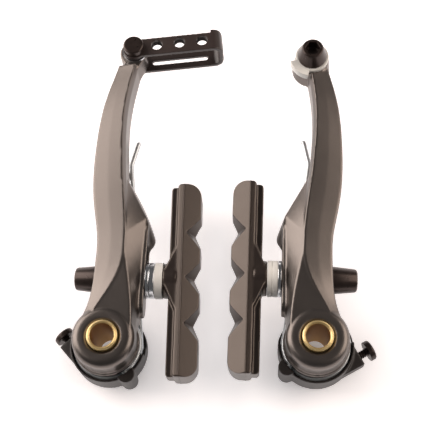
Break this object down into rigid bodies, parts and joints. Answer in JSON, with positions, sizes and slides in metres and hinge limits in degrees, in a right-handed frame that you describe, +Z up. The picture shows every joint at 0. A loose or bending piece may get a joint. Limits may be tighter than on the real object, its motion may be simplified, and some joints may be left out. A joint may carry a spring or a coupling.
{
  "type": "v brake",
  "caption": "Pair of linear-pull bicycle brake arms on pivot bushes with return springs, threaded brake pads, a cable link on one arm and a cable anchor on the other.",
  "frame": {"origin": "on the left arm's pivot axis, at the back end of its bush, where it meets the frame boss", "axes": "+X from the left arm to the right arm, +Y back towards the bicycle frame, +Z up the arms; the viewer is at -Y"},
  "size_m": [0.1131, 0.0319, 0.1337],
  "materials": {
    "arm": "satin black anodised",
    "bush": "turned",
    "housing": "moulded black",
    "steel": "zinc plated",
    "black_steel": "black oxide",
    "spring": "bright wire",
    "rubber": "moulded",
    "washer": "bright zinc",
    "link": "satin black"
  },
  "bodies": {
    "base": {"left_pivot_bush": "bush", "left_spring_housing": "housing", "left_stop_pin": "steel", "left_return_spring": "spring", "right_pivot_bush": "bush", "right_spring_housing": "housing", "right_stop_pin": "steel", "right_return_spring": "spring"},
    "left_arm": {"left_arm": "arm", "left_link_pin": "black_steel", "left_link_washer": "washer"},
    "right_arm": {"right_arm": "arm", "right_anchor_washer": "washer", "right_anchor_bolt": "black_steel"},
    "left_link": {"left_cable_link": "link"},
    "left_pad_clamp": {"left_inner_flat_washer": "washer", "left_inner_cup_washer": "washer", "left_inner_ball_washer": "washer", "left_outer_cup_washer": "washer", "left_outer_ball_washer": "washer", "left_outer_flat_washer": "washer", "left_pad_nut": "black_steel"},
    "left_pad": {"left_pad_rubber": "rubber", "left_pad_stud": "steel"},
    "left_screw": {"left_tension_screw": "black_steel"},
    "right_pad_clamp": {"right_inner_flat_washer": "washer", "right_inner_cup_washer": "washer", "right_inner_ball_washer": "washer", "right_outer_cup_washer": "washer", "right_outer_ball_washer": "washer", "right_outer_flat_washer": "washer", "right_pad_nut": "black_steel"},
    "right_pad": {"right_pad_rubber": "rubber", "right_pad_stud": "steel"},
    "right_screw": {"right_tension_screw": "black_steel"}
  },
  "joints": [
    {"name": "left_arm_pivot", "type": "hinge", "parent": "base", "child": "left_arm", "pos_m": [0, 0, 0], "axis": [0, 1, 0], "range_deg": [-20, 4], "stiffness_Nm_per_rad": 1, "deforming": ["left_return_spring"]},
    {"name": "left_pad_slide", "type": "slide", "parent": "left_arm", "child": "left_pad_clamp", "axis": [0.0262, 0, 0.9997], "range_m": [-0.002, 0.004]},
    {"name": "left_pad_swivel", "type": "hinge", "parent": "left_pad_clamp", "child": "left_pad", "pos_m": [0.0006, -0.0124, 0.02279], "axis": [0.9997, 0, -0.0262], "range_deg": [-95, 95]},
    {"name": "left_tension_adjust", "type": "slide", "parent": "base", "child": "left_screw", "axis": [0.682, 0, -0.7314], "range_m": [-0.002, 0.0014]},
    {"name": "right_arm_pivot", "type": "hinge", "parent": "base", "child": "right_arm", "pos_m": [0.072, 0, 0], "axis": [0, -1, 0], "range_deg": [-20, 4], "stiffness_Nm_per_rad": 1, "deforming": ["right_return_spring"]},
    {"name": "right_pad_slide", "type": "slide", "parent": "right_arm", "child": "right_pad_clamp", "axis": [0.0262, 0, 0.9997], "range_m": [-0.002, 0.004]},
    {"name": "right_pad_swivel", "type": "hinge", "parent": "right_pad_clamp", "child": "right_pad", "pos_m": [0.0726, -0.0124, 0.02279], "axis": [-0.9997, 0, 0.0262], "range_deg": [-95, 95]},
    {"name": "right_tension_adjust", "type": "slide", "parent": "base", "child": "right_screw", "axis": [-0.8746, 0, -0.4848], "range_m": [-0.002, 0.003]},
    {"name": "link_pivot", "type": "hinge", "parent": "left_arm", "child": "left_link", "pos_m": [0.00543, 0, 0.1117], "axis": [0, -1, 0], "range_deg": [-40, 90]}
  ]
}
